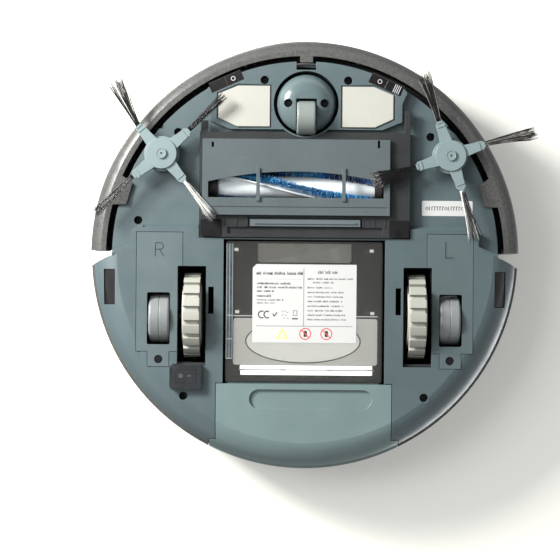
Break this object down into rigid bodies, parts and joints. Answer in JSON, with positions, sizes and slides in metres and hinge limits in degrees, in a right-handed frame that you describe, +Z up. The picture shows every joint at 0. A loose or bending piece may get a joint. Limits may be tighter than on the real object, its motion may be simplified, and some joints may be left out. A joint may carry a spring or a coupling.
{
  "type": "robot vacuum cleaner",
  "caption": "Round robot vacuum cleaner with sprung bumper, drive wheels, caster, side brushes, main brush and a clear dust bin that slides out at the rear.",
  "frame": {"origin": "point on the floor under the centre of the round body, in the upright stance on its wheels", "axes": "+Z up; +Y towards the rear, the way the dust bin slides out; the bumper is at -Y; +X towards the right when seen from above with the bumper away from the viewer reversed, that is the side whose cover is marked L"},
  "size_m": [0.3512, 0.34, 0.0902],
  "materials": {
    "shell_teal": "fine satin moulded plastic",
    "shell_dark": "satin moulded plastic",
    "bumper_metallic": "metallic speckled paint on plastic",
    "top_metallic": "metallic speckled paint on plastic",
    "panel_black": "high gloss",
    "button_silver": "satin",
    "board_green": "solder mask",
    "battery_blue": "shrink wrap",
    "motor_steel": "plated",
    "pad_cream": "nickel plated",
    "window_black": "smoked",
    "cover_teal": "fine satin",
    "well_black": "matt",
    "steel": "zinc plated",
    "switch_black": "satin",
    "boot_clear": "clear rubber",
    "label_white": "paper film",
    "spring_steel": "polished wire",
    "dome_grey": "gloss",
    "caster_grey": "satin",
    "hub_grey": "satin",
    "bristle_black": "nylon bristle",
    "core_white": "satin",
    "bristle_blue": "nylon bristle",
    "cap_dark": "satin",
    "guard_grey": "semi gloss",
    "arm_black": "satin",
    "hub_white": "satin",
    "tyre_ivory": "soft rubber",
    "roller_grey": "satin",
    "bin_clear": "clear polycarbonate",
    "filter_white": "pleated paper",
    "flap_grey": "satin"
  },
  "bodies": {
    "chassis_body": {"chassis": "shell_teal", "top_cover": "top_metallic", "control_panel": "panel_black", "main_board": "board_green", "battery_pack": "battery_blue", "fan_housing": "well_black", "fan_motor": "motor_steel", "brush_motor": "well_black", "side_brush_motors": "well_black", "brush_surround": "shell_dark", "charge_contacts": "pad_cream", "cliff_sensor_windows": "window_black", "module_cover_left": "cover_teal", "module_cover_right": "cover_teal", "wheel_wells": "well_black", "bin_bay": "well_black", "roller_pins": "steel", "chassis_screws": "steel", "switch_bezel": "switch_black", "switch_boot": "boot_clear", "serial_label": "label_white", "bumper_springs": "spring_steel", "bumper_switches": "switch_black", "charge_jack": "switch_black", "suspension_spring_left": "spring_steel", "suspension_spring_right": "spring_steel"},
    "bumper": {"bumper_shell": "bumper_metallic", "bumper_window": "window_black"},
    "caster_swivel_body": {"caster_dome": "dome_grey", "caster_axle": "steel", "caster_screws": "steel"},
    "caster_wheel_body": {"caster_wheel": "caster_grey"},
    "side_brush_left_body": {"side_brush_left": "hub_grey", "side_bristles_left": "bristle_black"},
    "side_brush_right_body": {"side_brush_right": "hub_grey", "side_bristles_right": "bristle_black"},
    "main_brush_body": {"brush_core": "core_white", "brush_end_caps": "cap_dark", "brush_bristles": "bristle_blue"},
    "guard_body": {"brush_guard": "guard_grey"},
    "latch_body": {"guard_latch": "cover_teal"},
    "drive_arm_left_body": {"drive_arm_left": "arm_black", "wheel_motor_left": "motor_steel"},
    "drive_arm_right_body": {"drive_arm_right": "arm_black", "wheel_motor_right": "motor_steel"},
    "wheel_left_body": {"wheel_hub_left": "hub_white", "wheel_tyre_left": "tyre_ivory"},
    "wheel_right_body": {"wheel_hub_right": "hub_white", "wheel_tyre_right": "tyre_ivory"},
    "roller_left_body": {"roller_left": "roller_grey"},
    "roller_right_body": {"roller_right": "roller_grey"},
    "bin": {"bin_body": "bin_clear", "bin_rear_cover": "cover_teal", "bin_filter": "filter_white", "bin_flap": "flap_grey", "rating_label": "label_white"},
    "rocker_body": {"power_rocker": "switch_black"},
    "start_button_body": {"start_button": "button_silver"},
    "dock_button_body": {"dock_button": "button_silver"},
    "fan_body": {"fan_impeller": "core_white"}
  },
  "joints": [
    {"name": "bumper_slide", "type": "slide", "parent": "chassis_body", "child": "bumper", "axis": [0, 1, 0], "range_m": [0, 0.004], "stiffness_N_per_m": 600, "springref_m": -0.003, "deforming": ["bumper_springs"]},
    {"name": "caster_swivel", "type": "hinge", "parent": "chassis_body", "child": "caster_swivel_body", "pos_m": [0, -0.119, 0.035], "axis": [0, 0, 1], "continuous": true},
    {"name": "caster_roll", "type": "hinge", "parent": "caster_swivel_body", "child": "caster_wheel_body", "pos_m": [0, -0.1078, 0.0133], "axis": [1, 0, 0], "continuous": true},
    {"name": "side_brush_left_spin", "type": "hinge", "parent": "chassis_body", "child": "side_brush_left_body", "pos_m": [-0.1133, -0.0786, 0.012], "axis": [0, 0, 1], "continuous": true, "deforming": ["side_bristles_left"]},
    {"name": "side_brush_right_spin", "type": "hinge", "parent": "chassis_body", "child": "side_brush_right_body", "pos_m": [0.1133, -0.0786, 0.012], "axis": [0, 0, 1], "continuous": true, "deforming": ["side_bristles_right"]},
    {"name": "main_brush_spin", "type": "hinge", "parent": "chassis_body", "child": "main_brush_body", "pos_m": [-0.006, -0.0537, 0.0258], "axis": [1, 0, 0], "continuous": true},
    {"name": "brush_guard_hinge", "type": "hinge", "parent": "chassis_body", "child": "guard_body", "pos_m": [-0.0075, -0.0902, 0.011], "axis": [-1, 0, 0], "range_deg": [0, 75]},
    {"name": "guard_latch_slide", "type": "slide", "parent": "chassis_body", "child": "latch_body", "axis": [0, -1, 0], "range_m": [0, 0.0012], "stiffness_N_per_m": 200, "springref_m": -0.001},
    {"name": "wheel_arm_left", "type": "hinge", "parent": "chassis_body", "child": "drive_arm_left_body", "pos_m": [-0.104, -0.004, 0.038], "axis": [-1, 0, 0], "range_deg": [-5, 13], "stiffness_Nm_per_rad": 1, "springref_deg": 16.62, "deforming": ["suspension_spring_left"]},
    {"name": "wheel_spin_left", "type": "hinge", "parent": "drive_arm_left_body", "child": "wheel_left_body", "pos_m": [-0.0886, 0.0482, 0.0335], "axis": [1, 0, 0], "continuous": true},
    {"name": "roller_spin_left", "type": "hinge", "parent": "chassis_body", "child": "roller_left_body", "pos_m": [-0.1145, 0.0508, 0.0295], "axis": [1, 0, 0], "continuous": true},
    {"name": "wheel_arm_right", "type": "hinge", "parent": "chassis_body", "child": "drive_arm_right_body", "pos_m": [0.104, -0.004, 0.038], "axis": [-1, 0, 0], "range_deg": [-5, 13], "stiffness_Nm_per_rad": 1, "springref_deg": 16.62, "deforming": ["suspension_spring_right"]},
    {"name": "wheel_spin_right", "type": "hinge", "parent": "drive_arm_right_body", "child": "wheel_right_body", "pos_m": [0.0886, 0.0482, 0.0335], "axis": [1, 0, 0], "continuous": true},
    {"name": "roller_spin_right", "type": "hinge", "parent": "chassis_body", "child": "roller_right_body", "pos_m": [0.1145, 0.0508, 0.0295], "axis": [1, 0, 0], "continuous": true},
    {"name": "bin_slide", "type": "slide", "parent": "chassis_body", "child": "bin", "axis": [0, 1, 0], "range_m": [0, 0.165]},
    {"name": "power_switch_rock", "type": "hinge", "parent": "chassis_body", "child": "rocker_body", "pos_m": [-0.0925, 0.096, 0.0174], "axis": [0, -1, 0], "range_deg": [0, 14]},
    {"name": "start_button_press", "type": "slide", "parent": "chassis_body", "child": "start_button_body", "axis": [0, 0, -1], "range_m": [0, 0.0015], "stiffness_N_per_m": 400, "springref_m": -0.001},
    {"name": "dock_button_press", "type": "slide", "parent": "chassis_body", "child": "dock_button_body", "axis": [0, 0, -1], "range_m": [0, 0.0015], "stiffness_N_per_m": 400, "springref_m": -0.001},
    {"name": "fan_spin", "type": "hinge", "parent": "chassis_body", "child": "fan_body", "pos_m": [0.026, -0.062, 0.056], "axis": [0, 0, 1], "continuous": true}
  ]
}
